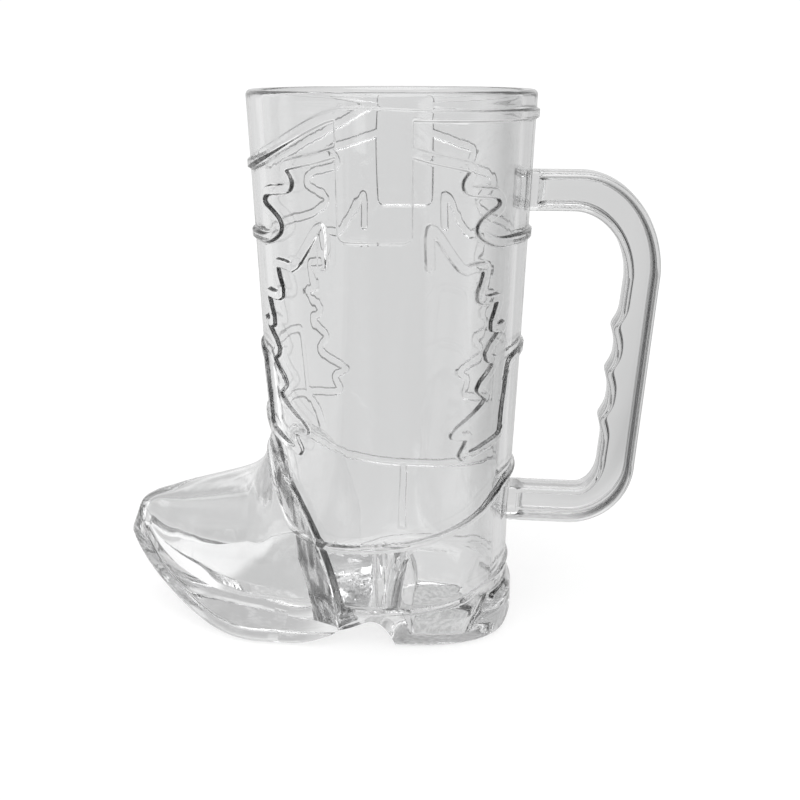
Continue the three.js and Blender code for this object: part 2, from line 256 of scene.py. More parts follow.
ornament = {
    "rise": 0.9,
    "edge": 0.6,
    "ribHalf": 1.25,
    "collarHalf": 1.3,
    "strapHalfAngle": 14.0,
    "strapLow": 127.8,
    "strapHigh": 160.0,
    "strapCorner": 2.3,
    "stripHalf": 1.7,
    "stripLow": 16.0,
    "stripRise": 0.6,
    "stripEdges": (0.8, 1.2),  # width of its slope at the sides and at the foot
    "ringHalf": 1.35,
    "ringRise": 1.1,
    # on the toe: where the ring starts and how far forward it is followed, its steps, points around it
    "ringStart": -15.1,
    "ringFront": -41.5,
    "ringLean": (0.55, 0.0, 0.85),
    "ringSteps": 150,
    "ringPoints": 16,
    # ring and heel ridge as side-view lines (x, z); the ring dips further on the near side
    "ringNear": ((-45, 62), (-38.5, 61), (-37, 60.2), (-35.3, 58.3), (-32.9, 52.9), (-30.7, 47.6),
                 (-28.6, 43.6), (-24.5, 39.8), (-18.9, 37.2), (-15, 36.9), (-8.7, 37.5), (-0.3, 38.7),
                 (6, 39.5), (14.5, 41.2), (22.8, 43.6), (28.4, 46.5), (32.6, 50.7), (35.2, 53), (45, 54)),
    "ringFar": ((-45, 62), (-38.5, 61), (-36.5, 58.5), (-33.1, 54), (-28.9, 49.8), (-24.8, 46.3),
                (-15.2, 41.7), (-8, 40), (-1.5, 39.3), (9.9, 39.9), (19.8, 42.2), (29.2, 46.6), (33.5, 51),
                (35.6, 53), (45, 54)),
    "ridgeLine": ((-16, 8.6), (-11.8, 10.6), (-6.8, 12.5), (0.6, 13.7), (10, 14.8), (18.7, 16), (24.7, 17.6),
                  (28.2, 19.4), (34, 21), (36.3, 22.5), (45, 23.5)),
    "ridgeHalf": 1.1,
    "ridgeRise": 0.8,
    # stitch lines of one quarter: degrees from the middle of a side, height
    "wave": ((10, 151.4), (21, 149), (30, 147.6), (37.5, 146.4), (37.5, 144.6), (34.5, 142.6), (35.5, 140.6),
             (42, 140), (50, 139.4), (53.5, 137.4), (52.5, 135), (46, 133.2), (41.5, 131), (42.5, 129),
             (48, 127), (54, 126), (66, 126), (78, 125.6), (91, 125.5)),
    "flame": ((21, 121.3), (20.4, 131.4), (23, 130.6), (29, 124.6), (35, 119.5), (40, 120.3), (46, 120.2),
              (45.5, 117), (42.5, 112), (46, 110.8), (55, 111.2), (54, 108.5), (50.5, 103), (54, 102.2),
              (59, 103), (56.5, 101), (48.5, 96.2), (49.5, 94), (54.5, 93.2), (51.5, 90), (44.5, 86.2),
              (47, 84.6), (51, 82.6), (46.5, 79.4), (32, 73.6), (36, 72.8), (41, 72.4), (40, 70),
              (36.5, 66.2), (44, 66.6), (52, 68), (61, 69.2), (62, 72), (62.2, 77), (64, 84), (64.8, 90),
              (67, 91.2), (76, 91.8), (91, 92)),
    "collarFront": ((-1, 160), (14, 160), (24, 157), (34, 153.6), (46, 150), (68, 145.4), (91, 144)),
    "collarRear": ((-1, 160), (14, 159.4), (40, 159), (91, 158.6)),
    "tongue": ((51.2, 48), (51.2, 53), (51.3, 57.1), (53.7, 61.7), (57.5, 65.8), (62.4, 68.4), (68.8, 70.2),
               (80, 71), (91, 71.2)),
}


def bodyAxes(z):
    s = shaftCup
    return [glide(z, s["rowHeights"], s[name]) for name in ("halfLengths", "halfWidths", "fullness")]


def bodySkin(z, inset, turn, lift=0.0):
    # points of the outer ovals moved in by inset and out by lift
    a, b, full = (axis[:, None] for axis in bodyAxes(z))
    inset = np.asarray(inset, float)[:, None]
    x = (a - inset) * squarer(np.cos(turn)[None, :], full)
    y = (b - inset) * squarer(np.sin(turn)[None, :], full)
    nx, ny = x / a ** 2, y / b ** 2
    size = np.sqrt(nx ** 2 + ny ** 2) + tiny
    return np.stack((x + lift * nx / size, y + lift * ny / size, np.broadcast_to(z[:, None], x.shape)), 2)


def ridge(distance, half, edge):
    return easeIn((half + edge / 2 - distance) / edge)


def bead(distance, half):
    return np.sqrt(np.clip(1 - (distance / half) ** 2, 0.0, 1.0))


def sideLine(x, z, line):
    # how far (x, z) stands from a side-view line that is extruded across the mug
    xs, zs = zip(*line)
    middle = glide(x, xs, zs)
    step = 0.2
    slope = (glide(x + step, xs, zs) - glide(x - step, xs, zs)) / (2 * step)
    return np.abs(z - middle) / np.sqrt(1 + slope ** 2)


def stitchRelief(z, turn):
    # height of the stitched ornament over the cup, worked out on one quarter and mirrored
    o = ornament
    degrees = np.degrees(turn) % 360
    phi = np.abs(90 - degrees % 180)
    quarter, back = np.unique(np.round(phi, 6), return_inverse=True)
    reach = bodyAxes(z)[0]
    around = np.radians(quarter)[None, :] * reach[:, None]
    level = z[:, None]

    def raised(name, rounds, half):
        path = softenPath(o[name], rounds)
        drawn = np.column_stack((np.radians(path[:, 0]) * bodyAxes(path[:, 1])[0], path[:, 1]))
        return ridge(pathDistance(around, level, drawn), half, o["edge"])

    rise = np.maximum(raised("wave", 2, o["ribHalf"]), raised("flame", 1, o["ribHalf"]))
    middle = (o["strapLow"] + o["strapHigh"]) / 2
    overU = np.abs(around) - (np.radians(o["strapHalfAngle"]) * reach[:, None] - o["strapCorner"])
    overV = np.abs(level - middle) - ((o["strapHigh"] - o["strapLow"]) / 2 - o["strapCorner"])
    outside = np.hypot(np.maximum(overU, 0), np.maximum(overV, 0)) + np.minimum(np.maximum(overU, overV), 0)
    rise = np.maximum(rise, ridge(outside - o["strapCorner"], 0.0, o["edge"]))
    front = np.maximum(rise, raised("collarFront", 2, o["collarHalf"]))
    front = np.maximum(front, raised("tongue", 2, o["ribHalf"]))
    rear = np.maximum(rise, raised("collarRear", 2, o["collarHalf"]))
    relief = np.where(np.cos(turn)[None, :] < 0, front[:, back], rear[:, back]) * o["rise"]

    flat = bodySkin(z, np.zeros(len(z)), turn)
    x, y = flat[:, :, 0], flat[:, :, 1]
    ringAway = np.where(y < 0, sideLine(x, level, o["ringNear"]), sideLine(x, level, o["ringFar"]))
    ringRise = bead(ringAway, o["ringHalf"]) * o["ringRise"]
    ridgeRise = bead(sideLine(x, level, o["ridgeLine"]), o["ridgeHalf"]) * o["ridgeRise"]
    sideEdge, footEdge = o["stripEdges"]
    inStrip = easeIn((o["stripHalf"] - np.abs(x)) / sideEdge) * easeIn((level - o["stripLow"]) / footEdge)
    ringLow = glide(0.0, *zip(*o["ringNear"]))
    inStrip = inStrip * (level < ringLow) * o["stripRise"]
    for extra in (ringRise, ridgeRise, inStrip):
        relief = np.maximum(relief, extra)
    return relief


def cupRows(low, foot, climb, corner):
    # heights of the rows from a rounded foot to the rounded lip, and what these two step in or out
    lip = shaftCup["lip"]
    quarterTurn = np.linspace(0, math.pi / 2, corner + 1)
    footTurn, lipTurn = quarterTurn[:-1], quarterTurn[1:]
    rim = shaftCup["height"] - lip
    z = np.concatenate((low + foot * (1 - np.cos(footTurn)), climb, rim + lip * np.sin(lipTurn)))
    none = np.zeros(len(climb) + corner)
    footStep = np.concatenate((foot * (1 - np.sin(footTurn)), none))
    lipStep = np.concatenate((none, lip * (1 - np.cos(lipTurn))))
    return z, footStep, lipStep


def cupOuter(name):
    s = shaftCup
    fine, columns = s["fine"], s["columns"]
    rim, edge = s["height"] - s["lip"], s["baseEdge"]
    cells = round((rim - edge) / s["cell"])
    z, footStep, lipStep = cupRows(0.0, edge, np.linspace(edge, rim, cells * fine + 1), fine)
    turn = np.arange(columns * fine) * 2 * math.pi / (columns * fine)
    relief = stitchRelief(z, turn)
    skin = bodySkin(z, footStep + lipStep, turn, relief)
    # cells where the ornament rises or falls keep all their points
    closed = np.concatenate((relief, relief[:, :1]), 1)
    busy = np.zeros((cells + 2, columns), bool)
    for row in range(cells + 2):
        band = closed[row * fine:(row + 1) * fine + 1]
        high = np.stack([band[:, i:i + columns * fine:fine] for i in range(fine + 1)], 0)
        busy[row] = high.max(axis=(0, 1)) - high.min(axis=(0, 1)) > s["busyRelief"]
    busy[0] = True
    busy[-1] = True
    return wrapSheet(name, skin, busy, fine)


def cupPlain(name, inset, low, foot, cell=1.6):
    # plain copy of the cup's form, moved in by inset, flared at the lip and taller than the cup
    s = shaftCup
    rim = s["height"] - s["lip"]
    climb = np.linspace(low + foot, rim, round((rim - low) / cell))
    z, footStep, lipStep = cupRows(low, foot, climb, 5)
    z = np.append(z, s["height"] + s["mouthSpare"])
    inset = np.append(inset + footStep - lipStep, inset - s["lip"])
    turn = np.arange(s["columns"]) * 2 * math.pi / s["columns"]
    return loftSkin(name, bodySkin(z, inset, turn))


def cupHollow():
    # the drinking space of the cup
    return cupPlain("hollow", shaftCup["wall"], shaftCup["floor"], shaftCup["floorRound"])


def archPlate():
    # the open arch under the waist, as a plate to cut with
    return sidePlate("cut", softenPath(heelArch, 2))


def wellPlug(name):
    # the hollow that the heel has below the floor of the cup
    count, full = heelWell["points"], heelWell["fullness"]
    turn = np.arange(count) * 2 * math.pi / count
    rings = []
    for z, middle, halfLength, halfWidth in heelWell["rings"]:
        x = middle + halfLength * squarer(np.cos(turn), full)
        y = halfWidth * squarer(np.sin(turn), full)
        rings.append(np.column_stack((x, y, np.full(count, z))))
    return loftSkin(name, rings)


def weldPlate(name, way):
    # everything in front of the weld seam, as the shaft (way 1) or the toe (way -1) meets it
    w = weldSeam
    angle = np.linspace(0, math.pi / 2, w["steps"])
    middle = w["foot"] - w["depth"]
    seamX = middle + w["depth"] * np.cos(angle)
    seamZ = w["footHeight"] + w["rise"] * np.sin(angle)
    a, b, full = bodyAxes(seamZ)
    skin = b * np.clip(1 - np.abs(seamX / a) ** full, 0.0, 1.0) ** (1 / full)
    openZ, openRun = w["openHeight"]
    openSkin, skinRun = w["openWidth"]
    closeStart, closeRun = w["closeBelow"]
    fade = easeIn((seamZ - openZ) / openRun) * easeIn((skin - openSkin) / skinRun)
    spread = w["shaftSpread"] if way > 0 else w["toeSpread"]
    across = np.linspace(-w["acrossHalf"], w["acrossHalf"], w["acrossSteps"])
    rings, depths, opened = [], [], []
    for y in (-plateHalfWidth, *across, plateHalfWidth):
        below = skin - w["land"] - abs(y)
        closed = easeIn((below - w["grooveDepth"] - closeStart) / closeRun)
        openness = fade * (1 - closed) * (y * w["clearSide"] < 0)
        deep = np.clip(below, 0.0, w["grooveDepth"]) * openness
        gap = w["fusedGap"] + (w["gap"] - w["fusedGap"]) * openness
        offset = way * (gap / 2 + spread * deep)
        x = middle + (w["depth"] + offset) * np.cos(angle)
        z = w["footHeight"] + (w["rise"] + offset) * np.sin(angle)
        ends = ((w["front"], z[-1]), (w["front"], w["under"]))
        outline = [(x[0], w["under"]), *zip(x, z), *ends]
        rings.append([(px, y, pz) for px, pz in outline])
        depths.append(np.concatenate(([0.0], deep, [0.0, 0.0])))
        opened.append(np.concatenate(([0.0], gap, [0.0, 0.0])))
    plate = loftSkin(name, rings)
    # finish of the faces: plain at the land, fused on the clear side, rough and with painted shade in the
    # groove
    isOpen = np.array(opened)[:-1] > w["fusedGap"] + w["openFrom"]
    isGroove = np.array(depths)[:-1] > w["grooveFrom"]
    finish = np.where(isGroove, grooveFace, np.where(isOpen, plainFace, fusedFace))
    finish = np.concatenate((finish.ravel(), [plainFace, plainFace]))
    plate.data.polygons.foreach_set("material_index", finish.astype(np.int32))
    return plate


def makeShaft():
    cup = cupOuter("shaft_shell")
    combine(cup, archPlate(), "DIFFERENCE")
    combine(cup, cupHollow(), "DIFFERENCE")
    combine(cup, wellPlug("well"), "DIFFERENCE")
    combine(cup, weldPlate("cut", 1), "DIFFERENCE")
    # the flat underside of the heel gets painted shade of its own
    faces = cup.data.polygons
    finish = np.empty(len(faces), np.int32)
    faces.foreach_get("material_index", finish)
    middles = np.empty(len(faces) * 3, np.float32)
    faces.foreach_get("center", middles)
    finish[middles[2::3] < shaftCup["flatBelow"] * mm] = heelShadeFace
    faces.foreach_set("material_index", finish)
    print("shaft shell:", len(cup.data.polygons), "faces")
    return cup


# Toe: an upturned sole slab with a welt ledge and the arched upper on it

toeShell = {
    "wall": 4.6,
    "welt": 4.8,
    "ledge": 1.1,
    "soleEdge": 2.0,
    "weltEdge": 0.8,
    # along the toe from the tip: place, half width of the sole, height of its underside
    "soleStations": ((-86.7, 0, 26), (-86.3, 2.2, 25), (-85.2, 3.9, 23.2), (-82.8, 6, 20), (-79.3, 8.4, 16.2),
                     (-75.3, 11, 12.8), (-70.8, 13.8, 9.7), (-66.9, 16.2, 7.4), (-63.1, 18.3, 5.3),
                     (-59.4, 20.2, 3.7), (-55.7, 22, 2.4), (-52, 23.5, 1.4), (-48.4, 24.8, 0.7),
                     (-44, 25.7, 0.15), (-40, 26.1, 0), (-34, 26.2, 0), (-26, 26.2, 0), (-18, 26, 0),
                     (-8, 25.6, 0)),
    # upper: place, top height, bulge above the ledge
    "upperStations": ((-83.7, 33.7, 0), (-82.3, 36.1, 0), (-80.1, 37.9, 0), (-77, 39.4, 0), (-73.2, 40.6, 0),
                      (-69.7, 41.8, 0), (-62.9, 43.7, 0), (-56.2, 45.3, 0), (-49.5, 46.9, 0.3),
                      (-46.2, 48.1, 0.7), (-42.8, 50.6, 1.2), (-40.7, 53.6, 1.6), (-38.6, 57.6, 2.0),
                      (-36.5, 61.4, 2.8), (-34, 63.3, 4.5), (-32, 64.3, 6.2), (-30, 65, 7.7),
                      (-28, 65.4, 9.0), (-24, 66, 10.6), (-20, 66, 11.5), (-15, 66, 12.8), (-8, 66, 12.8)),
    "fullness": ((-86, -60, -40, -8), (2.1, 2.3, 2.7, 3.0)),  # place, squareness of the section
    # hollow: place, height of its floor, half width of the flat floor, height of the sloped side
    "floorStations": ((-80, 27, 0.8, 2), (-74, 20.5, 2.4, 4), (-66, 16, 6, 6), (-58, 14, 11, 7),
                      (-53.5, 13.4, 14, 7), (-45, 13.3, 17.5, 6), (-35, 13.4, 19.5, 5), (-20, 13.5, 20.5, 5),
                      (-8, 13.5, 20.5, 5)),
    "soleSteps": 200,
    "upperSteps": 240,
    "crowding": 1.25,  # above 1 the sections stand closer together at the tip
    "tipStart": 0.03,
    "weltLean": 0.72,  # how far the welt leans with the upturned sole, and how it thickens at the tip
    "weltTip": 1.8,
    "tipWall": 0.45,  # share of the wall that is left at the tip, from where, and over which run
    "tipFrom": -84.0,
    "tipRun": 16.0,
    "tipBack": 0.45,  # share of the wall by which the hollow's tip is set back, fading over a run
    "tipFade": 6.0,
    "edgeShare": (0.6, 0.4),  # largest rounding for the half width: sole, welt
    "slimmest": (0.1, 0.3),  # sections slimmer than this are left out: upper, hollow
    "sunk": 0.6,  # the upper starts this far below the ledge
    "least": 0.4,  # and is at least this high
    "footShare": (0.35, 0.97),  # its foot in the sole: share of the sole's height, share of the width
    "floorShare": 0.9,  # the hollow's flat floor is at most this share of its width
    "sideCurve": 1.3,
    "sideSteps": 8,
    "arcSteps": 61,
    "crease": 28,
}


def stationLine(stations, steps):
    # smooth values along the stations, closer together at the tip
    table = np.asarray(stations, float)
    along = np.arange(len(table))
    at = np.linspace(0, 1, steps) ** toeShell["crowding"] * (len(table) - 1)
    at[0] = toeShell["tipStart"]
    return [glide(at, along, column) for column in table.T]


def soleEdges():
    # lower edge of the sole and the leaning upper edge of its welt
    t = toeShell
    x, half, low = stationLine(t["soleStations"], t["soleSteps"])
    lean = np.arctan(-np.gradient(low, x))
    topX = x + t["welt"] * t["weltLean"] * np.sin(lean)
    topZ = low + t["welt"] * (np.cos(lean) + t["weltTip"] * np.sin(lean) ** 4)
    return x, half, low, topX, topZ


def soleSlab(name):
    t = toeShell
    rings = []
    corner = np.linspace(0, math.pi / 2, 5)
    soleShare, weltShare = t["edgeShare"]
    for x, w, low, topX, topZ in zip(*soleEdges()):
        r = min(t["soleEdge"], w * soleShare)
        q = min(t["weltEdge"], w * weltShare)
        high = topZ - low
        side = [(0.0, 0.0), (0.5 * (w - r), 0.0)]
        side += [(w - r + r * math.sin(c), r - r * math.cos(c)) for c in corner]
        side += [(w, 0.5 * high)]
        side += [(w - q + q * math.cos(c), high - q + q * math.sin(c)) for c in corner]
        side += [(0.5 * (w - r), high)]
        loop = side + [(0.0, high)] + [(-y, h) for y, h in side[:0:-1]]
        rings.append([(x + (topX - x) * h / high, y, low + h) for y, h in loop])
    return loftSkin(name, rings)


def upperForm(x):
    # half width at the ledge, ledge height, top height, bulge, underside and squareness at a place
    t = toeShell
    soleX, soleHalf, soleLow, topX, topZ = soleEdges()
    place, top, bulge = np.asarray(t["upperStations"], float).T
    return (np.interp(x, topX, soleHalf) - t["ledge"], np.interp(x, topX, topZ), glide(x, place, top),
            glide(x, place, bulge), np.interp(x, soleX, soleLow), 2 / glide(x, *t["fullness"]))


def upperRings(inset):
    # cross-sections of the arched upper; with an inset those of the hollow inside it
    t = toeShell
    x = stationLine(t["upperStations"], t["upperSteps"])[0]
    half, ledge, top, bulge, low, power = upperForm(x)
    thin = t["tipWall"]
    isHollow = inset > 0
    inset = inset * (thin + (1 - thin) * easeIn((x - t["tipFrom"]) / t["tipRun"]))
    keep = half > inset + t["slimmest"][isHollow]
    if isHollow:
        place, height, flat, slope = np.asarray(t["floorStations"], float).T
        foot = glide(x, place, height)
        half = half - inset
        flat = np.minimum(glide(x, place, flat), t["floorShare"] * half)
        ledge = foot + glide(x, place, slope)
        rising = np.gradient(top, x)
        long = np.sqrt(1 + rising ** 2)
        top = np.interp(x, x + inset * rising / long, top - inset / long)
        x = x + inset * t["tipBack"] * np.exp(-np.maximum(x - x[keep][0], 0) / t["tipFade"])
    else:
        upShare, wideShare = t["footShare"]
        foot = low + upShare * (ledge - low)
        flat = wideShare * half
        ledge = ledge - t["sunk"]
    top = np.maximum(top, ledge + t["least"])
    x, half, ledge, top, bulge, foot, flat, power = (
        v[keep][:, None] for v in (x, half, ledge, top, bulge, foot, flat, power))
    arc = np.linspace(0, math.pi / 2, t["arcSteps"])[None, :]
    up = np.sin(arc) ** power
    climb = np.linspace(0, 1, t["sideSteps"] + 1)[None, :-1]
    y = np.concatenate((0 * x, flat + (half - flat) * climb,
                        (half + bulge * up) * np.abs(np.cos(arc)) ** power), 1)
    side = foot + (ledge - foot) * climb ** t["sideCurve"]
    z = np.concatenate((foot, side, ledge + (top - ledge) * up), 1)
    right = np.stack((np.broadcast_to(x, y.shape), y, z), 2)
    left = (right[:, 1:-1] * (1, -1, 1))[:, ::-1]
    return np.concatenate((right, left), 1)


def upperSide(x, z):
    # half width of the upper at a place and height
    half, ledge, top, bulge, _, power = upperForm(x)
    sunk = toeShell["sunk"]
    up = np.clip((z - ledge + sunk) / (top - ledge + sunk), 0.0, 1.0)
    lean = up ** (1 / power)
    return (half + bulge * up) * np.sqrt(np.clip(1 - lean ** 2, 0.0, 1.0)) ** power


def ringOnToe(name):
    # the ankle ring runs on over the toe's upper, from one side of the seam to the other
    o = ornament
    x = np.linspace(o["ringStart"], o["ringFront"], 400)
    path = []
    for line, way in (("ringNear", -1), ("ringFar", 1)):
        z = glide(x, *zip(*o[line]))
        y = upperSide(x, z)
        ended = y <= 0.02
        last = int(np.argmax(ended)) if ended.any() else len(y) - 1
        run = np.column_stack((x, way * y, z))[:last]
        path.extend(run if way < 0 else run[::-1])
    path = np.array(path)
    run = np.concatenate(([0], np.cumsum(np.linalg.norm(np.diff(path, axis=0), axis=1))))
    even = np.linspace(0, run[-1], o["ringSteps"])
    path = np.column_stack([np.interp(even, run, path[:, k]) for k in range(3)])
    for _ in range(6):
        path[1:-1] = 0.25 * path[:-2] + 0.5 * path[1:-1] + 0.25 * path[2:]
    along = np.gradient(path, axis=0)
    along /= np.linalg.norm(along, axis=1, keepdims=True)
    level = np.cross(along, o["ringLean"])
    level /= np.linalg.norm(level, axis=1, keepdims=True)
    rise = np.cross(level, along)
    turn = (np.arange(o["ringPoints"]) * 2 * math.pi / o["ringPoints"])[None, :, None]
    rings = path[:, None] + o["ringRise"] * (np.cos(turn) * level[:, None] + np.sin(turn) * rise[:, None])
    return loftSkin(name, rings)


def makeToe():
    toe = soleSlab("toe_shell_clear")
    combine(toe, loftSkin("upper", upperRings(0.0)), "UNION")
    combine(toe, ringOnToe("ring"), "UNION")
    combine(toe, archPlate(), "DIFFERENCE")
    combine(toe, loftSkin("hollow", upperRings(toeShell["wall"])), "DIFFERENCE")
    combine(toe, cupHollow(), "DIFFERENCE")
    combine(toe, weldPlate("cut", -1), "INTERSECT")
    print("toe shell:", len(toe.data.polygons), "faces")
    return toe


# Handle: a rounded loop with rails on both edges, a thin web between them and finger grips

handleLoop = {
    "frameReach": 78.0,  # how far the frame's handle stands out from the cup's axis
    "reach": 77.7,
    "top": 143.0,
    "foot": 35.9,
    "bar": 11.1,
    "gripBar": 9.6,
    "gripBarFoot": 10.9,
    "thick": 9.0,
    "lean": 0.059,
    # corners: length and drop of the outer edge, then of the inner edge
    "topCorner": ((23.8, 29.0), (15.8, 19.4)),
    "footCorner": ((19.5, 20.0), (6.6, 10.0)),
    "rail": 1.9,
    "web": 3.6,
    "leastStep": 0.02,  # the web lies at least this far under the rails
    "rootPad": 2.0,  # near its roots the bar is full, and thins to the web over a run
    "padRun": 1.6,
    "round": 0.8,
    "fillet": 0.7,
    "gripTips": (98.2, 84.6, 70.0),
    "gripDepth": 2.0,
    "gripReach": (5.0, 6.5),  # run of a tip upwards and downwards
    "gripPower": 1.6,
    "gripSoft": 13,  # points over which the tips are rounded
    "rootSink": 2.0,  # the roots start this far inside the cup's skin
    "bond": 0.12,
    "fitFoot": 1.5,  # rounding at the foot of the cup's copy that trims the roots
    "rootSteps": 16,
    "cornerSteps": (40, 36),
    "gripSteps": 150,
    # columns of the half section that are steps between rail and web: outer rail, inner rail
    "stepColumns": ((13, 16), (19, 29)),
    "crease": 62,
}


def gripWave(z):
    # finger ridges on the inside of the grip: blunt tips with long hollows
    h = handleLoop
    wave = np.zeros_like(z)
    for tip in h["gripTips"]:
        away = z - tip
        reach = np.where(away > 0, *h["gripReach"])
        wave = np.maximum(wave, np.clip(1 - np.abs(away) / reach, 0, 1) ** h["gripPower"])
    kernel = np.hanning(h["gripSoft"])
    soft = np.convolve(np.pad(wave, h["gripSoft"] // 2, mode="edge"), kernel / kernel.sum(), mode="valid")
    return h["gripDepth"] * soft


def handleStations():
    # outer and inner edge points along the loop, from the top root to the foot root
    h = handleLoop
    barTop, barFoot = h["top"] - h["bar"], h["foot"] + h["bar"]
    topRoot, footRoot = bodyAxes(np.array([barTop, barFoot]))[0] - h["rootSink"]
    topCorners, footCorners = h["topCorner"], h["footCorner"]
    topMiddle = h["top"] - topCorners[0][1]
    footMiddle = h["foot"] + footCorners[0][1]

    def outerX(z):
        return h["reach"] - h["lean"] * (topMiddle - z)

    def innerX(z):
        share = (topMiddle - z) / (topMiddle - footMiddle)
        return outerX(z) - h["gripBar"] - (h["gripBarFoot"] - h["gripBar"]) * share

    def edge(top, foot, topCorner, footCorner, gripX, gripZ):
        # one edge: root run, corner, grip, corner, root run
        (topLength, topDrop), (footLength, footDrop) = topCorner, footCorner
        startX, endX = gripX[0] - topLength, gripX[-1] - footLength
        topSteps, footSteps = h["cornerSteps"]
        line = [(x, top) for x in np.linspace(topRoot, startX, h["rootSteps"])[:-1]]
        for a in np.linspace(math.pi / 2, 0, topSteps)[:-1]:
            line.append((startX + topLength * math.cos(a), top - topDrop + topDrop * math.sin(a)))
        line += list(zip(gripX, gripZ))
        for a in np.linspace(0, -math.pi / 2, footSteps)[1:]:
            line.append((endX + footLength * math.cos(a), foot + footDrop + footDrop * math.sin(a)))
        return np.array(line + [(x, foot) for x in np.linspace(endX, footRoot, h["rootSteps"])[1:]])

    z = np.linspace(topMiddle, footMiddle, h["gripSteps"])
    outer = edge(h["top"], h["foot"], topCorners[0], footCorners[0], outerX(z), z)
    z = np.linspace(barTop - topCorners[1][1], barFoot + footCorners[1][1], h["gripSteps"])
    inner = edge(barTop, barFoot, topCorners[1], footCorners[1], innerX(z) - gripWave(z), z)
    return outer, inner


def handleSection(width, webHalf):
    # one half of the bar's section, from the outer edge to the inner edge: (distance in, half thickness)
    h = handleLoop
    half, r, f, rail = h["thick"] / 2, h["round"], h["fillet"], h["rail"]
    f = min(f, max(half - webHalf, h["leastStep"]) / 2)
    turn = np.linspace(0, math.pi / 2, 6)
    side = [(r - r * math.cos(c), half - r + r * math.sin(c)) for c in turn]
    side += [(rail - f + f * math.sin(c), half - f + f * math.cos(c)) for c in turn]
    side += [(rail + f - f * math.cos(c), webHalf + f - f * math.sin(c)) for c in turn]
    middle = [(width / 2, webHalf)]
    other = [(width - d, y) for d, y in side[::-1]]
    return side + middle + other


def makeHandle():
    h = handleLoop
    outer, inner = handleStations()
    steps = np.linalg.norm(np.diff((outer + inner) / 2, axis=0), axis=1)
    along = np.concatenate(([0], np.cumsum(steps)))
    fromRoot = np.minimum(along, along[-1] - along) - h["rootSink"]
    pad = easeIn((fromRoot - h["rootPad"]) / h["padRun"])
    webHalf = h["thick"] / 2 - h["leastStep"] - (h["thick"] - h["web"]) / 2 * pad
    rings = []
    for (ox, oz), (ix, iz), web in zip(outer, inner, webHalf):
        width = math.hypot(ix - ox, iz - oz)
        ux, uz = (ix - ox) / width, (iz - oz) / width
        half = handleSection(width, web)
        loop = half + [(d, -y) for d, y in half[::-1]]
        rings.append([(ox + ux * d, y, oz + uz * d) for d, y in loop])
    loop = loftSkin("handle_loop", rings)
    # the steps from the rails down to the web get painted shade of their own
    column = np.arange(2 * len(half)) % len(half)
    isStep = np.zeros(len(column), bool)
    for first, last in h["stepColumns"]:
        isStep |= (column >= first) & (column <= last)
    finish = np.concatenate((np.tile(isStep, len(rings) - 1), (False, False)))
    loop.data.polygons.foreach_set("material_index", finish.astype(np.int32))
    combine(loop, cupPlain("fit", -h["bond"], 0.0, h["fitFoot"]), "DIFFERENCE")
    print("handle loop:", len(loop.data.polygons), "faces")
    return loop


# Shader writing: a socket that takes plain arithmetic

class Wire:
    def __init__(self, tree, socket=None):
        self.tree = tree
        self.socket = socket

    def node(self, kind, settings=None, inputs=None, output=0):
        made = self.tree.nodes.new(kind)
        for name, value in (settings or {}).items():
            if name == "stops":
                while len(made.color_ramp.elements) < len(value):
                    made.color_ramp.elements.new(0.5)
                for stop, (place, colour) in zip(made.color_ramp.elements, value):
                    stop.position = place
                    stop.color = (*colour, 1.0)
            else:
                setattr(made, name, value)
        for name, value in (inputs or {}).items():
            if isinstance(value, Wire):
                self.tree.links.new(value.socket, made.inputs[name])
            else:
                made.inputs[name].default_value = value
        return Wire(self.tree, made.outputs[output] if made.outputs else None)

    def sum(self, operation, first, second):
        return self.node("ShaderNodeMath", {"operation": operation}, {0: first, 1: second})

    def __add__(self, other):
        return self.sum("ADD", self, other)

    def __radd__(self, other):
        return self.sum("ADD", other, self)

    def __sub__(self, other):
        return self.sum("SUBTRACT", self, other)

    def __rsub__(self, other):
        return self.sum("SUBTRACT", other, self)

    def __mul__(self, other):
        return self.sum("MULTIPLY", self, other)

    def __rmul__(self, other):
        return self.sum("MULTIPLY", other, self)


def eased(w, value, limits, levels=(0.0, 1.0)):
    # soft step from one level to the other while the value crosses its limits
    return w.node("ShaderNodeMapRange", {"interpolation_type": "SMOOTHSTEP"},
                  {0: value, 1: limits[0], 2: limits[1], 3: levels[0], 4: levels[1]})


def evenly(w, value, limits, levels=(0.0, 1.0)):
    low, high = limits
    return w.node("ShaderNodeMapRange", {}, {0: value, 1: low, 2: high, 3: levels[0], 4: levels[1]})


def noise(w, place, size, detail=2.0):
    return w.node("ShaderNodeTexNoise", {}, {"Vector": place, "Scale": size, "Detail": detail})


def arrows(w, operation, first, second, output=0):
    return w.node("ShaderNodeVectorMath", {"operation": operation}, {0: first, 1: second}, output)


def axesOf(w, vector):
    parts = w.node("ShaderNodeSeparateXYZ", {}, {0: vector}).socket.node.outputs
    return [Wire(w.tree, part) for part in parts]


def objectPlace(w):
    return w.node("ShaderNodeTexCoord", output="Object")


def newMaterial(name):
    material = bpy.data.materials.new(name)
    material.use_nodes = True
    material.node_tree.nodes.clear()
    return material, Wire(material.node_tree)


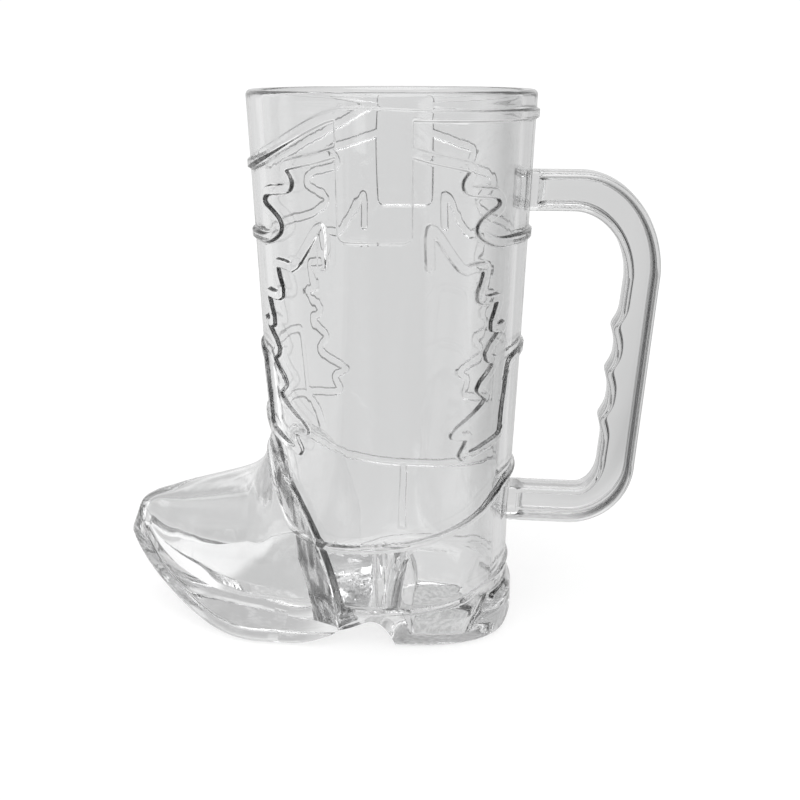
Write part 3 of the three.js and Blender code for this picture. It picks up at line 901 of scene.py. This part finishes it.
clearPlastic = {
    "tintThin": (0.996, 0.998, 0.999),
    "tintDeep": (0.938, 0.94, 0.941),
    "refraction": 1.53,
    "gloss": 0.012,
    "haze": 0.03,
    "scuffSize": 900.0,
    "flowSize": 170.0,
    "flowRun": (1.0, 1.0, 0.09),  # the flow marks are drawn out upwards
    "flowDepth": 0.00013,
    "flowStrength": 0.5,
    # painted shade where a face seen from inside mirrors the light back: its share, and the slant at which it
    # comes
    "mirrorShadeShaft": 0.1,
    "mirrorShadeToe": 0.055,
    "mirrorShadeHandle": 0.08,
    "mirrorSlant": (0.24, 0.34),
    # painted shade where a face seen from outside stands at a slant: share, slants where it comes and goes
    "slantShade": 0.07,
    "leanSlant": (0.28, 0.44),
    "edgeSlant": (0.5, 0.7),
    # colour of the painted shade mixed into the plastic
    "paintedShadeColour": (0.004, 0.004, 0.005, 1.0),
    # the toe's and the handle's copies of the plastic are tinted darker than the shaft's: painted shade that
    # greys them
    "shadeTintToe": 0.952,
    "shadeTintHandle": 0.95,
}

# painted shade on the flanks of the stitched lines, as seen from outside and from inside
stitchFlank = {
    "near": 0.26,
    "far": 0.08,
    "lean": (0.92, 0.7),  # how far a face leans from the cup's round to count as a flank
    # the painted shade is strongest on the flanks that turn this way
    "side": (-0.99, -0.11, 0.3),  # the flanks that turn this way lose the most, the others the least share
    "sideTurn": (-0.2, 0.4),
    "sideLeast": 0.25,
    "patchSize": 210.0,  # the dark comes and goes along a line
    "patchTone": (0.44, 0.58),
    "patchShare": (0.2, 1.7),
    "foot": (0.06, 0.064),  # the stitching runs between these heights
    "top": (0.158, 0.16),
}

# painted shade under the heel: size and tone of its mottling, least and most of the shade, where it fades out
# towards the rear
heelShade = {
    "size": 620.0,
    "tone": (0.38, 0.62),
    "loss": (0.06, 0.28),
    "fadeRear": (16.0, 28.0),
}

# painted shade on the steps between the handle's rails and web: on upright ones by side, on level ones, seen
# from inside
railStep = {
    "inner": 0.75,
    "outer": 0.45,
    "level": 0.2,
    "far": 0.1,
    "upright": 0.7,
}


def stitchShade(w, place, inside):
    # painted shade on the flanks of the stitched lines, which lean away from the cup's round, darkest on the
    # flanks that turn one way
    f = stitchFlank
    normal = w.node("ShaderNodeNewGeometry", output="Normal")
    fromAxis = arrows(w, "SUBTRACT", place, (shaftX * mm, 0, 0))
    level = arrows(w, "MULTIPLY", fromAxis, (1, 1, 0))
    outward = w.node("ShaderNodeVectorMath", {"operation": "NORMALIZE"}, {0: level})
    straight = arrows(w, "DOT_PRODUCT", normal, outward, "Value")
    flank = eased(w, w.sum("ABSOLUTE", straight, 0.0), f["lean"])
    turned = arrows(w, "DOT_PRODUCT", normal, f["side"], "Value")
    side = eased(w, turned, f["sideTurn"], (f["sideLeast"], 1.0))
    height = axesOf(w, place)[2]
    above = evenly(w, height, f["foot"])
    below = evenly(w, height, f["top"], (1.0, 0.0))
    patch = eased(w, noise(w, place, f["patchSize"], 1.0), f["patchTone"], f["patchShare"])
    amount = inside * f["far"] + (1 - inside) * side * patch * f["near"]
    return amount * flank * above * below


def heelUndersideShade(w, place, inside):
    # painted shade under the heel, mottled, fading out towards the rear
    g = heelShade
    loss = eased(w, noise(w, place, g["size"]), g["tone"], g["loss"])
    fadeRear = tuple((shaftX + x) * mm for x in g["fadeRear"])
    return loss * evenly(w, axesOf(w, place)[0], fadeRear, (1.0, 0.0))


def stepShade(w, place, inside):
    # painted shade on the steps between the handle's rails and web, most where they stand upright
    r = railStep
    sideways = axesOf(w, w.node("ShaderNodeNewGeometry", output="Normal"))[0]
    inner = evenly(w, sideways, (0.0, r["upright"]), (0.0, r["inner"]))
    outer = evenly(w, sideways, (0.0, -r["upright"]), (0.0, r["outer"]))
    return inside * r["far"] + (1 - inside) * (r["level"] + inner + outer)


def plasticMaterial(name, mirrorShade, extraShade=None, shadeTint=1.0):
    p = clearPlastic
    material, w = newMaterial(name)
    place = objectPlace(w)
    flow = noise(w, arrows(w, "MULTIPLY", place, p["flowRun"]), p["flowSize"])
    scuff = noise(w, place, p["scuffSize"], 3.0)
    deep, thin = (tuple(shadeTint * part for part in p[tone]) for tone in ("tintDeep", "tintThin"))
    tint = w.node("ShaderNodeMix", {"data_type": "RGBA"}, {0: flow, 6: (*deep, 1.0), 7: (*thin, 1.0)}, 2)
    swell = w.node("ShaderNodeBump", {}, {
        "Strength": p["flowStrength"], "Distance": p["flowDepth"], "Height": flow})
    shader = w.node("ShaderNodeBsdfPrincipled", {}, {
        "Base Color": tint, "Roughness": p["gloss"] + p["haze"] * flow * scuff, "Normal": swell,
        "Transmission Weight": 1.0, "IOR": p["refraction"]})
    inside = w.node("ShaderNodeNewGeometry", output="Backfacing")
    slant = w.node("ShaderNodeLayerWeight", {}, {"Blend": 0.5}, "Facing")
    mirrored = eased(w, slant, p["mirrorSlant"], (0.0, mirrorShade))
    leaning = eased(w, slant, p["leanSlant"], (0.0, p["slantShade"]))
    notEdge = eased(w, slant, p["edgeSlant"], (1.0, 0.0))
    # painted shade: a near-black surface is mixed in where faces stand at a slant, and more where extraShade
    # adds it
    lost = inside * mirrored + (1 - inside) * leaning * notEdge
    if extraShade:
        lost = lost + extraShade(w, place, inside)
    paintedShade = w.node("ShaderNodeBsdfDiffuse", {}, {"Color": p["paintedShadeColour"]})
    shader = w.node("ShaderNodeMixShader", {}, {0: lost, 1: shader, 2: paintedShade})
    w.node("ShaderNodeOutputMaterial", {}, {"Surface": shader})
    return material


weldFinish = {
    "haze": 0.05,
    "hazeSize": 260.0,
    "hazeColour": (0.86, 0.87, 0.88, 1.0),
    "hazeRough": 0.25,
    # painted shade in the open groove, thinned along the streaks
    "shade": (0.6, 0.12),  # most and least of the dark in the open groove
    "shadeTone": (0.42, 0.58),
    "streaks": (520.0, 520.0, 70.0),
    "rough": 0.12,
    "streakRough": 0.2,
    "meltColour": (0.97, 0.975, 0.98, 1.0),
    "grooveShadeColour": (0.012, 0.012, 0.014, 1.0),
}


def fusedMaterial():
    # the fused side of the weld: all but invisible, with a breath of haze
    f = weldFinish
    material, w = newMaterial("fused_weld")
    cloud = noise(w, objectPlace(w), f["hazeSize"])
    shader = w.node("ShaderNodeBsdfPrincipled", {}, {
        "Base Color": f["hazeColour"], "Roughness": f["hazeRough"], "Alpha": f["haze"] * cloud})
    w.node("ShaderNodeOutputMaterial", {}, {"Surface": shader})
    return material


def grooveMaterial():
    # the open groove of the weld: painted shade, a near-black surface mixed into the clear plastic, with
    # lighter streaks along it where less is mixed in
    f = weldFinish
    material, w = newMaterial("weld_groove")
    streak = noise(w, arrows(w, "MULTIPLY", objectPlace(w), f["streaks"]), 1.0, 1.0)
    rough = f["rough"] + f["streakRough"] * streak
    clear = w.node("ShaderNodeBsdfPrincipled", {}, {
        "Base Color": f["meltColour"], "Roughness": rough, "Transmission Weight": 1.0,
        "IOR": clearPlastic["refraction"]})
    dark = w.node("ShaderNodeBsdfPrincipled", {}, {"Base Color": f["grooveShadeColour"], "Roughness": rough})
    shade = eased(w, streak, f["shadeTone"], f["shade"])
    shader = w.node("ShaderNodeMixShader", {}, {0: shade, 1: clear, 2: dark})
    w.node("ShaderNodeOutputMaterial", {}, {"Surface": shader})
    return material


def finishPiece(thing, materials, node, crease):
    slots = thing.data.materials
    for place, material in enumerate(materials):
        if place < len(slots):
            slots[place] = material
        else:
            slots.append(material)
    thing.data.polygons.foreach_set("use_smooth", np.ones(len(thing.data.polygons), bool))
    thing.data.set_sharp_from_angle(angle=math.radians(crease))
    thing.data.transform(Matrix.Translation((shaftX * mm, 0, 0)))
    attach(thing, "root")
    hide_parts(node)


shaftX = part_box("handle")[1][0] / mm - handleLoop["frameReach"]  # the cup's axis in the frame
finish = clearPlastic
stitched = plasticMaterial("clear_stitched_plastic", finish["mirrorShadeShaft"], stitchShade)
plain = plasticMaterial("clear_toe_plastic", finish["mirrorShadeToe"], None, finish["shadeTintToe"])
railed = plasticMaterial("clear_rail_plastic", finish["mirrorShadeHandle"], None, finish["shadeTintHandle"])
stepped = plasticMaterial("clear_rail_step", finish["mirrorShadeHandle"], stepShade)
heelShaded = plasticMaterial("clear_heel_painted_shade", finish["mirrorShadeShaft"], heelUndersideShade)
weld = [fusedMaterial(), grooveMaterial()]
finishPiece(makeShaft(), [stitched, *weld, heelShaded], "shaft_cup", shaftCup["crease"])
finishPiece(makeToe(), [plain, *weld], "toe_shell", toeShell["crease"])
finishPiece(makeHandle(), [railed, stepped], "handle", handleLoop["crease"])
print("pieces placed, cup axis at", round(shaftX, 2), "mm")


# Stage: a white table that glows a little, with painted light in a brighter patch under the toe, pale walls
# in several tones, a soft box overhead

stage = {
    "floorSize": 8.0,
    "floorDrop": 0.0002,  # the table lies this far under the mug
    "floorTone": (0.9, 0.91),
    "cloudSize": 6.0,
    "floorGlow": 0.74,  # share of the table's white that no shadow takes away
    "floorWhite": 1.02,
    "skyWhite": 1.05,  # the set as seen past the mug
    "surround": 0.73,  # how bright the set looks through the plastic
    # tones of the set as seen through the plastic: degrees to each side of the view, brightness
    "tones": ((-90, 1.1), (-62, 1.1), (-54, 0.86), (-44, 0.86), (-41, 0.72), (-36, 0.72), (-32, 0.78),
              (0, 0.74), (18, 0.71), (28, 0.68), (33, 0.64), (36, 0.6), (40, 0.6), (46, 0.76), (58, 0.76),
              (66, 0.3), (90, 0.3)),
    "frontTones": ((-90, 0.5), (-40, 0.5), (-36, 1.7), (-26, 1.7), (-22, 0.5),
                   (22, 0.5), (26, 1.7), (36, 1.7), (40, 0.5), (90, 0.5)),  # behind the photographer
    "tableTones": ((-90, 0.45), (90, 0.45)),
    "frontEdge": (-0.15, 0.05),  # where the tones behind the photographer give way to the others
    "toneStart": (0.09, 0.2),  # distance on the table from which they show
    "skyGain": 0.3,  # how much brighter the walls are above the table, and from where
    "skyStart": (0.05, 0.15),
    "shelfTone": 0.6,  # between the walls and the soft box
    # painted light: a brighter patch of the table under the toe, seen only through its sole
    "toeGlow": 1.19,  # the table as seen through the sole of the toe
    "toeLine": (-0.051, -0.044),  # its edge towards the heel, and how that edge slants
    "toeSkew": 0.51,
    "toeDepth": (0.023, 0.03),
    "wallTop": (0.18, 0.42),
    "boxLean": 0.5,  # the box hangs towards the photographer
    "boxEdge": (0.85, 1.0),
    "box": 3.2,
}

photoView = {
    "azimuth": 6.2,
    "elevation": 18.0,
    "distance": 320.0,
    "aside": 2.29,
    "aimHeight": 72.7,
    "focalPixels": 1034.0,
    "imageWidth": 800.0,
    "sensorWidth": 36.0,
    "clipStart": 0.01,
}


def setTone(w, aside, away, frontTones):
    # tone of the set by the turn from the line of view
    turn = math.radians(photoView["azimuth"])
    across = math.cos(turn) * aside + math.sin(turn) * away
    along = math.cos(turn) * away - math.sin(turn) * aside
    angle = 0.5 + w.sum("ARCTAN2", across, w.sum("ABSOLUTE", along, 0.0)) * (1 / math.pi)
    ramps = []
    for tones in (stage["tones"], frontTones):
        # a ramp's own tones stay below one, so they are halved in it
        stops = [(0.5 + degrees / 180, (tone / 2,) * 3) for degrees, tone in tones]
        ramps.append(2 * w.node("ShaderNodeValToRGB", {"stops": stops}, {0: angle}))
    beyond = eased(w, along, stage["frontEdge"])
    return beyond * ramps[0] + (1 - beyond) * ramps[1]


def makeTable():
    s = stage
    half = s["floorSize"] / 2
    mesh = bpy.data.meshes.new("table")
    corners = [(-half, -half, 0), (half, -half, 0), (half, half, 0), (-half, half, 0)]
    mesh.from_pydata(corners, [], [(0, 1, 2, 3)])
    table = bpy.data.objects.new("table", mesh)
    table.location.z = -s["floorDrop"]
    bpy.context.scene.collection.objects.link(table)
    material, w = newMaterial("white_table")
    place = objectPlace(w)
    dull, bright = ((tone, tone, tone, 1.0) for tone in s["floorTone"])
    cloud = noise(w, place, s["cloudSize"])
    white = w.node("ShaderNodeMix", {"data_type": "RGBA"}, {0: cloud, 6: dull, 7: bright}, 2)
    lit = w.node("ShaderNodeBsdfDiffuse", {}, {"Color": white})
    glow = w.node("ShaderNodeEmission", {}, {"Color": (1, 1, 1, 1), "Strength": s["floorWhite"]})
    seen = w.node("ShaderNodeMixShader", {}, {0: s["floorGlow"], 1: lit, 2: glow})
    alongX, acrossY, _ = axesOf(w, place)
    # painted light: the table is brighter under the toe for rays that come through the plastic
    toeLightPatch = eased(w, alongX - s["toeSkew"] * acrossY, s["toeLine"], (1.0, 0.0))
    ahead = eased(w, acrossY, s["toeDepth"], (1.0, 0.0))
    far = w.node("ShaderNodeVectorMath", {"operation": "LENGTH"}, {0: place}, "Value")
    shown = eased(w, far, s["toneStart"])
    around = s["surround"] + (setTone(w, alongX, acrossY, s["tableTones"]) - s["surround"]) * shown
    tone = around + (s["toeGlow"] - s["surround"]) * toeLightPatch * ahead
    through = w.node("ShaderNodeEmission", {}, {"Color": (1, 1, 1, 1), "Strength": tone})
    direct = w.node("ShaderNodeLightPath")
    shader = w.node("ShaderNodeMixShader", {}, {0: direct, 1: through, 2: seen})
    w.node("ShaderNodeOutputMaterial", {}, {"Surface": shader})
    mesh.materials.append(material)


def makeStudio():
    s = stage
    world = bpy.data.worlds.new("studio")
    world.use_nodes = True
    world.node_tree.nodes.clear()
    bpy.context.scene.world = world
    w = Wire(world.node_tree)
    aside, away, upward = axesOf(w, w.node("ShaderNodeTexCoord", output="Generated"))
    gain = eased(w, upward, s["skyStart"], (0.0, s["skyGain"]))
    wall = setTone(w, aside, away, s["frontTones"]) * (1 + gain)
    low = eased(w, upward, s["wallTop"], (1.0, 0.0))
    boxed = eased(w, upward - s["boxLean"] * away, s["boxEdge"])
    high = s["shelfTone"] + (s["box"] - s["shelfTone"]) * boxed
    light = wall * low + (1 - low) * high
    direct = w.node("ShaderNodeLightPath")
    light = direct * s["skyWhite"] + (1 - direct) * light
    glow = w.node("ShaderNodeBackground", {}, {"Color": (1, 1, 1, 1), "Strength": light})
    w.node("ShaderNodeOutputWorld", {}, {"Surface": glow})


makeTable()
makeStudio()
print("stage and studio light ready")


# Camera: as the photograph was taken, from close by and a little above

def makeCamera():
    v = photoView
    a, e = math.radians(v["azimuth"]), math.radians(v["elevation"])
    right = Vector((math.cos(a), math.sin(a), 0))
    back = Vector((math.sin(a) * math.cos(e), -math.cos(a) * math.cos(e), math.sin(e)))
    up = back.cross(right)
    aim = right * v["aside"] + Vector((shaftX, 0, v["aimHeight"]))
    lens = bpy.data.cameras.new("photo_view")
    lens.sensor_width = v["sensorWidth"]
    lens.lens = v["sensorWidth"] * v["focalPixels"] / v["imageWidth"]
    lens.clip_start = v["clipStart"]
    camera = bpy.data.objects.new("photo_view", lens)
    turn = Matrix((right, up, back)).transposed().to_4x4()
    camera.matrix_world = Matrix.Translation((aim + back * v["distance"]) * mm) @ turn
    bpy.context.scene.collection.objects.link(camera)
    bpy.context.scene.camera = camera
    print("camera set")


makeCamera()

scene = bpy.context.scene
scene.view_settings.view_transform = "Standard"
scene.cycles.max_bounces = 40
scene.cycles.transmission_bounces = 40
scene.cycles.glossy_bounces = 16
scene.cycles.diffuse_bounces = 4
